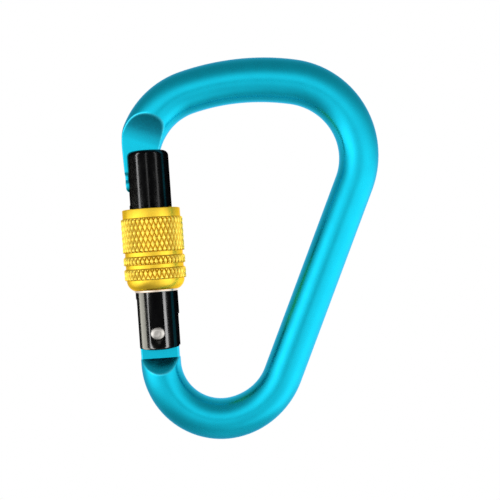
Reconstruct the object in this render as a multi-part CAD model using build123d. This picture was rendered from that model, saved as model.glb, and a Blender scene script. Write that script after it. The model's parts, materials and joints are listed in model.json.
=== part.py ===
"""Pear-shaped locking carabiner: forged alloy body, sprung gate and screwed locking sleeve.

Everything is drawn about the hinge: the rivet's axis is Y through the origin, the closed gate
stands along +Z, the spine is on the +X side and the front faces -Y. The finished pieces are then
shifted so that the row's origin is the bearing point of the wide basket.
"""
from build123d import *
import math
import os

# ---------------------------------------------------------------- driving dimensions, mm and deg
# forged round bar: thickness seen from the front at each named place, and the stock it is made of
STOCK = 11.7
BAR_AT_HINGE = 11.9
BAR_AT_NARROW_BASKET = 12.2
BAR_AT_SPINE = 11.65
BAR_AT_SHOULDER = 13.4
BAR_AT_WIDE_BASKET = 13.0
BAR_AT_NOSE = 12.7

# centreline of the bar, from the hinge round to the nose: tangent lines and arcs; the crown and
# the brow turn as far as it takes to bring the bar's end down at NOSE_X, along the gate
CENTRE_X = -0.12
HINGE_DROP = 9.25
HEEL_RADIUS, HEEL_ANGLE = 17.95, 99.5
TOE_RADIUS, TOE_ANGLE = 20.5, 56.1
SPINE_LENGTH = 61.1
SHOULDER_RADIUS, SHOULDER_ANGLE = 22.7, 102.8
CROWN_RADIUS = 69.6
BROW_RADIUS = 21.5
NOSE_X = -2.73
NOSE_LENGTH = 8.1
STATION_STEP = 4.0
CAM_STEPS = 6

# tongues of the body, which enter the two slots of the gate
TONGUE = 4.2
TONGUE_WIDTH = 11.6
TONGUE_CORNER = 2.6
HINGE_FLAT_DEPTH = 7.6
HINGE_SCOOP_LENGTH = 4.5

# nose: flats, outer and inner edges, neck and bulb; heights are above the nose's end
NOSE_FLAT_HEIGHT = 13.6
NOSE_RUNOUT_RADIUS = 12.0
NOSE_RUNOUT_ANGLE = 54.0
NOSE_OUTER = 7.18
NOSE_LEAN_ANGLE = 2.0
NOSE_BELLY_HEIGHT = 12.1
NOSE_BELLY_RADIUS = 44.0
NOSE_BELLY_ANGLE = 25.0
NOSE_INNER = 3.0
NOSE_THROAT_HEIGHT = 5.8
NOSE_THROAT_RADIUS = 18.0
NOSE_THROAT_ANGLE = 32.0
NECK = 2.6
NECK_HEIGHT = 5.15
NOSE_CORNER = 1.2

# gate barrel
GATE_DIAMETER = 12.6
GATE_BOTTOM = -4.9
GATE_OVER_NOSE = 12.1
GATE_TOP_ROUND = 1.6
GATE_BOTTOM_CHAMFER = 0.3
GATE_FOOT_RADIUS = 14.0
OPENING_ANGLE = 35.0
SLOT_PLAY = 0.15
SLOT_SLOPE_ANGLE = 22.0
HINGE_SLOT_ABOVE_TONGUE = 2.85
NOSE_SLOT_BELOW_NOSE = 1.5
CLOSING_GAP = 0.05
RIB_PLAY = 0.2
RIB_BELOW_NECK_TOP = 0.45

# rivet
RIVET_DIAMETER = 4.0
RIVET_HEAD_DIAMETER = 4.3
RIVET_HEAD_SEAT = 5.3
RIVET_HEAD_RIM = 6.05
RIVET_HEAD_CROWN = 6.45
RIVET_DIMPLE_RADIUS = 0.8
RIVET_DIMPLE_DEPTH = 0.12
RIVET_DOME_BULGE = 0.12

# plunger and return spring; the lever is both the plunger's offset and its travel per radian
PLUNGER_LEVER = 2.4
PLUNGER_DIAMETER = 4.0
PLUNGER_LENGTH = 6.0
PLUNGER_TIP_ROUND = 0.8
STEM_DIAMETER = 1.6
CAM_HEIGHT = 5.0
CAM_GAP = 0.02
SPRING_LENGTH = 14.0
SPRING_DIAMETER = 3.7
SPRING_WIRE = 0.7
SPRING_COILS = 10
SPRING_END_GAP = 0.03
RUNNING = 0.05

# locking sleeve: its lower lip above the hinge, then the height of each stretch upwards
SLEEVE_BOTTOM = 12.8
LOWER_COLLAR_HEIGHT = 3.15
LOWER_BAND_HEIGHT = 3.35
LOWER_GROOVE_HEIGHT = 1.05
MIDDLE_BAND_HEIGHT = 2.6
UPPER_GROOVE_HEIGHT = 1.15
UPPER_BAND_HEIGHT = 10.2
UPPER_COLLAR_HEIGHT = 2.7
SLEEVE_OVER_NOSE = 7.26
SLEEVE_WALL = 1.12
KNURL_STANDS = 0.55
SLEEVE_CORNER = 3.45
BAND_CHAMFER = 0.3
SLEEVE_TOP_CHAMFER = 0.3
SLEEVE_PLAY = 0.1
SLEEVE_NOSE_GAP = 0.5

# captive ring in the sleeve's mouth
RING_SHOWS = 0.55
RING_NECK_STANDS = 0.3
RING_FLANGE_STANDS = 0.7
RING_FLANGE_DEPTH = 1.2
RING_FLANGE_HEIGHT = 0.8
RING_SPLIT = 0.6


def arc_end(point, heading, radius, angle):
    """The end of an arc that turns left by that angle, and its heading there, in degrees."""
    start = math.radians(heading)
    end = math.radians(heading + angle)
    x = point[0] + radius * (math.sin(end) - math.sin(start))
    z = point[1] + radius * (math.cos(start) - math.cos(end))
    return (x, z), heading + angle


def closing_angles():
    """How far the crown and the brow turn to bring the bar down at NOSE_X, and the height there."""
    point, heading = arc_end((CENTRE_X, -HINGE_DROP), -90, HEEL_RADIUS, HEEL_ANGLE)
    point, heading = arc_end(point, heading, TOE_RADIUS, TOE_ANGLE)
    lean = math.radians(heading)
    point = (
        point[0] + SPINE_LENGTH * math.cos(lean),
        point[1] + SPINE_LENGTH * math.sin(lean),
    )
    point, heading = arc_end(point, heading, SHOULDER_RADIUS, SHOULDER_ANGLE)
    reach = NOSE_X + BROW_RADIUS - point[0] + CROWN_RADIUS * math.sin(math.radians(heading))
    meeting = 180 - math.degrees(math.asin(reach / (CROWN_RADIUS - BROW_RADIUS)))
    crown = meeting - heading
    brow = 270 - meeting
    point, heading = arc_end(point, heading, CROWN_RADIUS, crown)
    point, heading = arc_end(point, heading, BROW_RADIUS, brow)
    return crown, brow, point[1]


# ---------------------------------------------------------------- derived sizes
CROWN_ANGLE, BROW_ANGLE, BAR_END_Z = closing_angles()
GATE_RADIUS = GATE_DIAMETER / 2
SLOT = TONGUE + 2 * SLOT_PLAY
OPENING = math.radians(OPENING_ANGLE)
PLUNGER_TRAVEL = PLUNGER_LEVER * OPENING
PLUNGER_TIP = CAM_HEIGHT + CAM_GAP
PLUNGER_SHOULDER = PLUNGER_TIP + PLUNGER_LENGTH
BORE_END = PLUNGER_SHOULDER + SPRING_LENGTH
STEM_END = BORE_END - PLUNGER_TRAVEL - RUNNING
HINGE_SLOT_TOP = CAM_HEIGHT + HINGE_SLOT_ABOVE_TONGUE

NOSE_END = BAR_END_Z - NOSE_LENGTH
NOSE_RUNOUT_Z = NOSE_END + NOSE_FLAT_HEIGHT
NOSE_BELLY_Z = NOSE_END + NOSE_BELLY_HEIGHT
NOSE_THROAT_Z = NOSE_END + NOSE_THROAT_HEIGHT
NECK_TOP = NOSE_END + NECK_HEIGHT
RIB_TOP = NECK_TOP - RIB_BELOW_NECK_TOP
NOSE_SLOT_FLOOR = NOSE_END - NOSE_SLOT_BELOW_NOSE
GATE_TOP = NOSE_END + GATE_OVER_NOSE
GATE_HEIGHT = GATE_TOP - GATE_BOTTOM
BULB_RADIUS = TONGUE / 2
BULB_Z = NOSE_END + BULB_RADIUS

SLEEVE_MOUTH = math.hypot(NOSE_OUTER, TONGUE / 2) + RUNNING
COLLAR = SLEEVE_MOUTH + SLEEVE_WALL
LOWER_BAND = SLEEVE_BOTTOM + LOWER_COLLAR_HEIGHT
LOWER_GROOVE = LOWER_BAND + LOWER_BAND_HEIGHT
MIDDLE_BAND = LOWER_GROOVE + LOWER_GROOVE_HEIGHT
UPPER_GROOVE = MIDDLE_BAND + MIDDLE_BAND_HEIGHT
UPPER_BAND = UPPER_GROOVE + UPPER_GROOVE_HEIGHT
UPPER_COLLAR = UPPER_BAND + UPPER_BAND_HEIGHT
SLEEVE_TOP = UPPER_COLLAR + UPPER_COLLAR_HEIGHT
SLEEVE_TRAVEL = NOSE_END + SLEEVE_OVER_NOSE - SLEEVE_TOP
RING_NECK = GATE_RADIUS + RING_NECK_STANDS
RING_FLANGE = GATE_RADIUS + RING_FLANGE_STANDS
RING_FLANGE_LOW = SLEEVE_BOTTOM + RING_FLANGE_DEPTH
RING_FLANGE_HIGH = RING_FLANGE_LOW + RING_FLANGE_HEIGHT


def side_plane(y=0.0):
    """The plane of the carabiner at depth y: local x is X, local y is Z, and its normal is -Y."""
    return Plane(origin=(0, y, 0), x_dir=(1, 0, 0), z_dir=(0, -1, 0))


def slab(profile, thickness):
    """A flat profile drawn in the carabiner's plane, made a plate of that thickness about it."""
    return extrude(profile, amount=thickness / 2, both=True)


def rectangle(x_low, x_high, z_low, z_high):
    """A rectangle in the carabiner's plane, given by its edges."""
    centre = ((x_low + x_high) / 2, (z_low + z_high) / 2)
    return side_plane() * Pos(*centre) * Rectangle(x_high - x_low, z_high - z_low)


def tube_round_z(outer, inner, low, high):
    """A plain tube about the gate's axis."""
    height = high - low
    ring = Cylinder(outer, height) - Cylinder(inner, height)
    return Pos(0, 0, (low + high) / 2) * ring


# ---------------------------------------------------------------- forged body
def bar_stretches():
    """The bar's centreline as tangent stretches, each with its thickness at its two ends."""
    with BuildLine(side_plane()):
        tongue = Line((CENTRE_X, CAM_HEIGHT), (CENTRE_X, -HINGE_DROP))
        heel = JernArc(tongue @ 1, tongue % 1, HEEL_RADIUS, HEEL_ANGLE)
        toe = JernArc(heel @ 1, heel % 1, TOE_RADIUS, TOE_ANGLE)
        spine = Line(toe @ 1, (toe @ 1) + (toe % 1) * SPINE_LENGTH)
        shoulder = JernArc(spine @ 1, spine % 1, SHOULDER_RADIUS, SHOULDER_ANGLE)
        crown = JernArc(shoulder @ 1, shoulder % 1, CROWN_RADIUS, CROWN_ANGLE)
        brow = JernArc(crown @ 1, crown % 1, BROW_RADIUS, BROW_ANGLE)
        nose = Line(brow @ 1, (brow @ 1) + (brow % 1) * (NOSE_LENGTH + NOSE_CORNER))
    return {
        "tongue": (tongue, BAR_AT_HINGE, BAR_AT_HINGE),
        "heel": (heel, BAR_AT_HINGE, BAR_AT_NARROW_BASKET),
        "toe": (toe, BAR_AT_NARROW_BASKET, BAR_AT_SPINE),
        "spine": (spine, BAR_AT_SPINE, BAR_AT_SPINE),
        "shoulder": (shoulder, BAR_AT_SPINE, BAR_AT_SHOULDER),
        "crown": (crown, BAR_AT_SHOULDER, BAR_AT_WIDE_BASKET),
        "brow": (brow, BAR_AT_WIDE_BASKET, BAR_AT_NOSE),
        "nose": (nose, BAR_AT_NOSE, BAR_AT_NOSE),
    }


def blend(start, end, share):
    """A thickness that changes smoothly from start to end."""
    return start + (end - start) * (1 - math.cos(math.pi * share)) / 2


def forged_bar(stretches):
    """The whole bar as one smooth loft through upright oval sections."""
    sections = []
    for number, (line, start, end) in enumerate(stretches.values()):
        steps = math.ceil(line.length / STATION_STEP)
        first = 0 if number == 0 else 1
        for step in range(first, steps + 1):
            share = step / steps
            section = Plane(origin=line @ share, x_dir=(0, 1, 0), z_dir=line % share)
            sections.append(section * Ellipse(STOCK / 2, blend(start, end, share) / 2))
    return loft(sections)


def cross_slab(profile, x_low, x_high):
    """A profile drawn in the plane across the gate (local x is Y, local y is Z), swept along X."""
    across = Plane(origin=(x_low, 0, 0), x_dir=(0, 1, 0), z_dir=(1, 0, 0))
    return extrude(across * profile, amount=x_high - x_low)


def both_sides(solid):
    """The solid and its mirror image on the other side of the carabiner's plane."""
    return [solid, mirror(solid, about=Plane.XZ)]


def cam_point(angle):
    """Where the plunger bears on the hinge tongue with the gate open by that angle, in radians.

    The plunger's lift grows evenly with the angle, so the cam is the involute of a circle whose
    radius is the plunger's lever.
    """
    height = CAM_HEIGHT + PLUNGER_LEVER * angle
    x = height * math.sin(angle) + PLUNGER_LEVER * math.cos(angle)
    z = height * math.cos(angle) - PLUNGER_LEVER * math.sin(angle)
    return (x, z)


def hinge_tongue_face():
    """Outline of the flat tongue that the gate's cheeks straddle."""
    left = CENTRE_X - TONGUE_WIDTH / 2
    right = CENTRE_X + TONGUE_WIDTH / 2
    cam = [cam_point(OPENING * step / CAM_STEPS) for step in range(CAM_STEPS + 1)]
    with BuildSketch(side_plane()) as sketch:
        with BuildLine():
            top = Line((left + TONGUE_CORNER, CAM_HEIGHT), cam[0])
            lobe = Spline(*cam)
            Polyline(
                lobe @ 1,
                (right, cam[-1][1] - (right - cam[-1][0])),
                (right, -HINGE_FLAT_DEPTH),
                (left, -HINGE_FLAT_DEPTH),
                (left, CAM_HEIGHT - TONGUE_CORNER),
            )
            RadiusArc((left, CAM_HEIGHT - TONGUE_CORNER), top @ 0, TONGUE_CORNER)
        make_face()
    return sketch.sketch


def hinge_flat_cutter():
    """What is milled off the front of the bar at the hinge: a flat, then a slanted scoop."""
    flat = TONGUE / 2
    run_out = STOCK / 2 - flat
    with BuildSketch() as sketch:
        with BuildLine():
            Polyline(
                (-flat, 2 * CAM_HEIGHT),
                (-flat, -HINGE_FLAT_DEPTH),
                (-flat - 2 * run_out, -HINGE_FLAT_DEPTH - 2 * HINGE_SCOOP_LENGTH),
                (-flat - 2 * run_out, 2 * CAM_HEIGHT),
                close=True,
            )
        make_face()
    return cross_slab(sketch.sketch, -TONGUE_WIDTH, TONGUE_WIDTH)


def nose_flat_cutter():
    """What is milled off the front of the bar at the nose: a flat that runs out in a large arc."""
    flat = TONGUE / 2
    low = NOSE_END - GATE_RADIUS
    turn = math.radians(NOSE_RUNOUT_ANGLE)
    rise = NOSE_RUNOUT_RADIUS * math.sin(turn)
    out = NOSE_RUNOUT_RADIUS * (1 - math.cos(turn))
    with BuildSketch() as sketch:
        with BuildLine():
            edge = Line((-flat, low), (-flat, NOSE_RUNOUT_Z))
            sweep_out = RadiusArc(
                edge @ 1, (-flat - out, NOSE_RUNOUT_Z + rise), -NOSE_RUNOUT_RADIUS
            )
            Polyline(sweep_out @ 1, (-flat - out, low), edge @ 0)
        make_face()
    return cross_slab(sketch.sketch, -2 * GATE_RADIUS, 2 * GATE_RADIUS)


def nose_outer_waste():
    """What is trimmed off the outer edge of the nose: a leaning line, then a long easy arc."""
    depth = NOSE_BELLY_Z - NOSE_END + GATE_RADIUS
    lean = math.tan(math.radians(NOSE_LEAN_ANGLE))
    with BuildSketch(side_plane()) as sketch:
        with BuildLine():
            foot = (-NOSE_OUTER + depth * lean, NOSE_BELLY_Z - depth)
            line = Line(foot, (-NOSE_OUTER, NOSE_BELLY_Z))
            belly = JernArc(line @ 1, line % 1, NOSE_BELLY_RADIUS, -NOSE_BELLY_ANGLE)
            far = -4 * GATE_RADIUS
            Polyline(belly @ 1, (far, (belly @ 1).Y), (far, foot[1]), foot)
        make_face()
    return slab(sketch.sketch, 2 * STOCK)


def throat_x(z):
    """How far in the nose's inner edge lies at height z, in the throat's arc."""
    rise = max(z - NOSE_THROAT_Z, 0)
    arc = NOSE_THROAT_RADIUS - math.sqrt(NOSE_THROAT_RADIUS**2 - rise**2)
    return NOSE_INNER + arc


def nose_inner_waste():
    """What is trimmed off the inner edge of the nose: straight, then the arc of the throat."""
    low = NOSE_END - GATE_RADIUS
    with BuildSketch(side_plane()) as sketch:
        with BuildLine():
            line = Line((NOSE_INNER, low), (NOSE_INNER, NOSE_THROAT_Z))
            throat = JernArc(line @ 1, line % 1, NOSE_THROAT_RADIUS, -NOSE_THROAT_ANGLE)
            far = 2 * GATE_RADIUS
            Polyline(throat @ 1, (far, (throat @ 1).Y), (far, low), line @ 0)
        make_face()
    return slab(sketch.sketch, 2 * STOCK)


def bulb_cutter():
    """What is taken off one side of the nose's end to leave its round bulb and narrow neck."""
    neck = NECK / 2
    bulb_top = BULB_Z + math.sqrt(BULB_RADIUS**2 - neck**2)
    flare = BULB_RADIUS - neck
    low = NOSE_END - BULB_RADIUS
    with BuildSketch() as sketch:
        with BuildLine():
            Polyline(
                (0, NOSE_END),
                (0, low),
                (-STOCK, low),
                (-STOCK, NECK_TOP + flare),
                (-BULB_RADIUS, NECK_TOP + flare),
                (-neck, NECK_TOP),
                (-neck, bulb_top),
            )
            ThreePointArc((-neck, bulb_top), (-BULB_RADIUS, BULB_Z), (0, NOSE_END))
        make_face()
    return cross_slab(sketch.sketch, -2 * GATE_RADIUS, 2 * GATE_RADIUS)


def make_body(stretches):
    """The forged body: bar, hinge tongue with its cam and rivet hole, and hooked nose."""
    bar = forged_bar(stretches)
    window = rectangle(-TONGUE_WIDTH, TONGUE_WIDTH, -HINGE_FLAT_DEPTH, 2 * CAM_HEIGHT)
    bar -= slab(window - hinge_tongue_face(), 2 * STOCK)
    bar -= nose_outer_waste()
    bar -= nose_inner_waste()
    below = rectangle(
        -3 * GATE_RADIUS, 2 * GATE_RADIUS, NOSE_END - 2 * GATE_RADIUS, NOSE_END
    )
    bar -= slab(below, 2 * STOCK)
    corners = bar.edges().filter_by(Axis.Y)
    corners = corners.filter_by_position(Axis.Z, NOSE_END - RUNNING, NOSE_END + RUNNING)
    bar = fillet(corners, NOSE_CORNER)
    for cutter in (hinge_flat_cutter(), nose_flat_cutter(), bulb_cutter()):
        for piece in both_sides(cutter):
            bar -= piece
    hole = Rot(90, 0, 0) * Cylinder(RIVET_DIAMETER / 2 + RUNNING, 2 * STOCK)
    return bar - hole


# ---------------------------------------------------------------- gate
def plain_barrel():
    """The round bar that the gate is milled from."""
    return Pos(0, 0, GATE_BOTTOM + GATE_HEIGHT / 2) * Cylinder(GATE_RADIUS, GATE_HEIGHT)


def hinge_slot():
    """Slot for the hinge tongue, through both sides, deeper on the outer side."""
    slope = math.tan(math.radians(SLOT_SLOPE_ANGLE))
    side = 2 * GATE_RADIUS
    low = 2 * GATE_BOTTOM
    with BuildSketch(side_plane()) as sketch:
        with BuildLine():
            Polyline(
                (-side, low),
                (side, low),
                (side, HINGE_SLOT_TOP - side * slope),
                (-side, HINGE_SLOT_TOP + side * slope),
                close=True,
            )
        make_face()
    return slab(sketch.sketch, SLOT)


def nose_slot():
    """Slot for the nose, open at the top and on the outer side, with a floor that sheds dirt."""
    slope = math.tan(math.radians(SLOT_SLOPE_ANGLE))
    side = 2 * GATE_RADIUS
    wall = throat_x(GATE_TOP) + CLOSING_GAP
    high = GATE_TOP + GATE_RADIUS
    with BuildSketch(side_plane()) as sketch:
        with BuildLine():
            Polyline(
                (-side, NOSE_SLOT_FLOOR - side * slope),
                (wall, NOSE_SLOT_FLOOR + wall * slope),
                (wall, high),
                (-side, high),
                close=True,
            )
        make_face()
    return slab(sketch.sketch, SLOT)


def nose_rib():
    """Rib on one wall of the nose slot that closes round the neck, above the bulb's pocket."""
    gap = NECK / 2 + RIB_PLAY
    pocket = BULB_RADIUS + RIB_PLAY
    wall = SLOT / 2
    root = wall + RUNNING
    lean_at_wall = math.asin(wall / pocket)
    lean_at_gap = math.asin(gap / pocket)

    def on_pocket(lean):
        return (-pocket * math.sin(lean), BULB_Z + pocket * math.cos(lean))

    with BuildSketch() as sketch:
        with BuildLine():
            ThreePointArc(
                on_pocket(lean_at_wall),
                on_pocket((lean_at_wall + lean_at_gap) / 2),
                on_pocket(lean_at_gap),
            )
            Polyline(
                on_pocket(lean_at_gap),
                (-gap, RIB_TOP),
                (-wall, RIB_TOP + wall - gap),
                (-root, RIB_TOP + wall - gap),
                (-root, on_pocket(lean_at_wall)[1]),
                on_pocket(lean_at_wall),
            )
        make_face()
    rib = cross_slab(sketch.sketch, -GATE_RADIUS, throat_x(GATE_TOP) + CLOSING_GAP)
    return rib & plain_barrel()


def foot_waste():
    """What is turned off the barrel's foot, which is rounded about an axis through the bar."""
    block = rectangle(-GATE_DIAMETER, GATE_DIAMETER, GATE_BOTTOM - GATE_DIAMETER, 0)
    centre = Pos(0, GATE_BOTTOM + GATE_FOOT_RADIUS)
    foot = side_plane() * centre * Circle(GATE_FOOT_RADIUS)
    return slab(block - foot, 2 * GATE_DIAMETER)


def make_gate():
    """The gate's barrel with its two slots, spring bore and rivet holes."""
    barrel = plain_barrel()
    rims = barrel.edges().filter_by(GeomType.CIRCLE).sort_by(Axis.Z)
    barrel = fillet(rims[-1], GATE_TOP_ROUND)
    rims = barrel.edges().filter_by(GeomType.CIRCLE).sort_by(Axis.Z)
    barrel = chamfer(rims[0], GATE_BOTTOM_CHAMFER)
    barrel -= foot_waste()
    barrel -= hinge_slot()
    barrel -= nose_slot()
    for rib in both_sides(nose_rib()):
        barrel += rib
    bore = Cylinder(PLUNGER_DIAMETER / 2 + RUNNING, BORE_END)
    barrel -= Pos(PLUNGER_LEVER, 0, BORE_END / 2) * bore
    barrel -= Rot(90, 0, 0) * Cylinder(RIVET_DIAMETER / 2, 2 * STOCK)
    seat = Rot(90, 0, 0) * Cylinder(RIVET_HEAD_DIAMETER / 2, STOCK)
    for piece in both_sides(Pos(0, -RIVET_HEAD_SEAT - STOCK / 2, 0) * seat):
        barrel -= piece
    return barrel


def make_rivet():
    """The hinge rivet: a plain shank with a closed head, domed and dimpled, at both ends."""
    shank = RIVET_DIAMETER / 2
    head = RIVET_HEAD_DIAMETER / 2
    shoulder = ((head + RIVET_DIMPLE_RADIUS) / 2, (RIVET_HEAD_RIM + RIVET_HEAD_CROWN) / 2)
    with BuildSketch() as sketch:
        with BuildLine():
            Polyline(
                (0, 0),
                (shank, 0),
                (shank, RIVET_HEAD_SEAT),
                (head, RIVET_HEAD_SEAT),
                (head, RIVET_HEAD_RIM),
            )
            ThreePointArc(
                (head, RIVET_HEAD_RIM),
                (shoulder[0] + RIVET_DOME_BULGE, shoulder[1] + RIVET_DOME_BULGE),
                (RIVET_DIMPLE_RADIUS, RIVET_HEAD_CROWN),
            )
            Polyline(
                (RIVET_DIMPLE_RADIUS, RIVET_HEAD_CROWN),
                (0, RIVET_HEAD_CROWN - RIVET_DIMPLE_DEPTH),
                (0, 0),
            )
        make_face()
    half = revolve(sketch.face(), Axis.Y)
    return half + mirror(half, about=Plane.XZ)


# ---------------------------------------------------------------- plunger and spring
def make_plunger():
    """The plunger that bears on the tongue's cam, with a stem that stops the gate when open."""
    head = Cylinder(PLUNGER_DIAMETER / 2, PLUNGER_LENGTH)
    tip = head.edges().filter_by(GeomType.CIRCLE).sort_by(Axis.Z)[0]
    head = fillet(tip, PLUNGER_TIP_ROUND)
    head = Pos(PLUNGER_LEVER, 0, PLUNGER_TIP + PLUNGER_LENGTH / 2) * head
    length = STEM_END - PLUNGER_SHOULDER
    stem = Pos(PLUNGER_LEVER, 0, PLUNGER_SHOULDER + length / 2) * Cylinder(STEM_DIAMETER / 2, length)
    return head + stem


def make_spring():
    """The return spring round the plunger's stem, from its shoulder to the end of the bore."""
    margin = SPRING_WIRE / 2 + SPRING_END_GAP
    low = PLUNGER_SHOULDER + margin
    height = SPRING_LENGTH - 2 * margin
    radius = (SPRING_DIAMETER - SPRING_WIRE) / 2
    coil = Helix(pitch=height / SPRING_COILS, height=height, radius=radius)
    section = Plane(origin=coil @ 0, z_dir=coil % 0) * Circle(SPRING_WIRE / 2)
    return Pos(PLUNGER_LEVER, 0, low) * sweep(section, path=coil, is_frenet=True)


# ---------------------------------------------------------------- locking sleeve
def band_outline(low, high):
    """Outer corners of one knurled band, with chamfered rims."""
    crest = COLLAR + KNURL_STANDS
    return [
        (COLLAR, low),
        (crest - BAND_CHAMFER, low),
        (crest, low + BAND_CHAMFER),
        (crest, high - BAND_CHAMFER),
        (crest - BAND_CHAMFER, high),
        (COLLAR, high),
    ]


def make_sleeve():
    """The locking sleeve: plain collars, three knurled bands and two grooves, turned in one."""
    lip = RING_NECK + RUNNING
    nest = RING_FLANGE + RUNNING
    bore = GATE_RADIUS + SLEEVE_PLAY
    step = NOSE_END - SLEEVE_TRAVEL - SLEEVE_NOSE_GAP
    corner_x = COLLAR - SLEEVE_CORNER
    corner_z = SLEEVE_BOTTOM + math.sqrt(SLEEVE_CORNER**2 - (lip - corner_x) ** 2)
    middle = math.atan2(SLEEVE_BOTTOM - corner_z, lip - corner_x) / 2
    halfway = (
        corner_x + SLEEVE_CORNER * math.cos(middle),
        corner_z + SLEEVE_CORNER * math.sin(middle),
    )
    bands = band_outline(LOWER_BAND, LOWER_GROOVE) + band_outline(MIDDLE_BAND, UPPER_GROOVE)
    bands += band_outline(UPPER_BAND, UPPER_COLLAR)
    with BuildSketch(Plane.XZ) as sketch:
        with BuildLine():
            ThreePointArc((lip, SLEEVE_BOTTOM), halfway, (COLLAR, corner_z))
            Polyline(
                (COLLAR, corner_z),
                *bands,
                (COLLAR, SLEEVE_TOP - SLEEVE_TOP_CHAMFER),
                (COLLAR - SLEEVE_TOP_CHAMFER, SLEEVE_TOP),
                (SLEEVE_MOUTH, SLEEVE_TOP),
                (SLEEVE_MOUTH, step),
                (bore, step),
                (bore, RING_FLANGE_HIGH + RUNNING),
                (nest, RING_FLANGE_HIGH + RUNNING),
                (nest, RING_FLANGE_LOW - RUNNING),
                (lip, RING_FLANGE_LOW - RUNNING),
                (lip, SLEEVE_BOTTOM),
            )
        make_face()
    return revolve(sketch.sketch, Axis.Z)


def make_ring():
    """The split ring caught in the sleeve's mouth: it slides on the barrel but doesn't turn."""
    bore = GATE_RADIUS + RUNNING
    neck = tube_round_z(RING_NECK, bore, SLEEVE_BOTTOM - RING_SHOWS, RING_FLANGE_HIGH)
    flange = tube_round_z(RING_FLANGE, bore, RING_FLANGE_LOW, RING_FLANGE_HIGH)
    split = Pos(0, GATE_RADIUS, RING_FLANGE_LOW) * Box(RING_SPLIT, GATE_RADIUS, GATE_RADIUS)
    return neck + flange - split


# ---------------------------------------------------------------- assembly
def bearing_point(stretches):
    """The highest point of the wide basket's inner edge, where the load hangs."""
    crown, start, end = stretches["crown"]
    heading = HEEL_ANGLE + TOE_ANGLE + SHOULDER_ANGLE - 90
    share = (180 - heading) / CROWN_ANGLE
    return (crown @ share) - Vector(0, 0, blend(start, end, share) / 2)


def main():
    """Build each piece, shift it to the row's origin and write it."""
    stretches = bar_stretches()
    pieces = {
        "body": make_body(stretches),
        "gate_barrel": make_gate(),
        "hinge_rivet": make_rivet(),
        "gate_plunger": make_plunger(),
        "return_spring": make_spring(),
        "locking_sleeve": make_sleeve(),
        "sleeve_ring": make_ring(),
    }
    shift = bearing_point(stretches) * -1
    os.makedirs("parts", exist_ok=True)
    for name, piece in pieces.items():
        export_step(Pos(*shift) * piece, f"parts/{name}.step")
    print("row origin to hinge axis:", shift)


main()
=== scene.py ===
"""A locking carabiner: forged bar, sprung gate and knurled screw sleeve, round its CAD frame.

Every piece is modelled in millimetres about the gate's hinge axis (X across the carabiner, Y
through it, Z along the gate), and then set into the frame in metres.
"""

import json
import logging
import math
from dataclasses import dataclass
from enum import Enum
from typing import ClassVar

import bmesh
import bpy
import numpy as np
from mathutils import Matrix, Vector


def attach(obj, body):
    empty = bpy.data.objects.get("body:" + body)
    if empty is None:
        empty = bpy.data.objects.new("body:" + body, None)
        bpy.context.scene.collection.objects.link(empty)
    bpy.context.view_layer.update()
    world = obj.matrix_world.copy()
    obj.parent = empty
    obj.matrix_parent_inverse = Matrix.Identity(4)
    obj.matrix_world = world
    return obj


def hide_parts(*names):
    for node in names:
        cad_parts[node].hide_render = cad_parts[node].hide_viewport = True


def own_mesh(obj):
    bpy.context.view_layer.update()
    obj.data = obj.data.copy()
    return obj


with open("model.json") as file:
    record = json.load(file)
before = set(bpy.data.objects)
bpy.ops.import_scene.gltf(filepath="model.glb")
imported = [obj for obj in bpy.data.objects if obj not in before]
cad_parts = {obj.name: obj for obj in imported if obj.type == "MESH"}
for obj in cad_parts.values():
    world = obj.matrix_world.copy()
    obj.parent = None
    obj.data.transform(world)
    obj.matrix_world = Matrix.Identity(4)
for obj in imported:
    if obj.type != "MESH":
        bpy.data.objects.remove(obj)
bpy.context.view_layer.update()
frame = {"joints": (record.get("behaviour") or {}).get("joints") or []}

LOG = logging.getLogger("carabiner")
MM = 0.001
SHARP_ANGLE = math.radians(32)
SHARP_SLOT = math.radians(35)
MERGE = 1e-5
LOOKS = "_looks"
# Vertex masks: hollow, where shade is painted into grooves and recesses; wear, where the finish is
# worn.
MASKS = ("hollow", "wear")
Point = tuple[float, float]
Colour = tuple[float, float, float]


class Body(Enum):
    """The rigid bodies that the pieces ride on."""

    FRAME = "frame"
    GATE = "gate"
    PLUNGER = "plunger"
    RING = "ring"
    SLEEVE = "sleeve"


class Cut(Enum):
    """How a tool changes the piece that it meets."""

    TAKE_AWAY = "DIFFERENCE"
    JOIN_ON = "UNION"


class Zone(Enum):
    """What is milled on a length of the bar."""

    PLAIN = "plain"
    HINGE = "hinge"
    NOSE = "nose"


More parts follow.
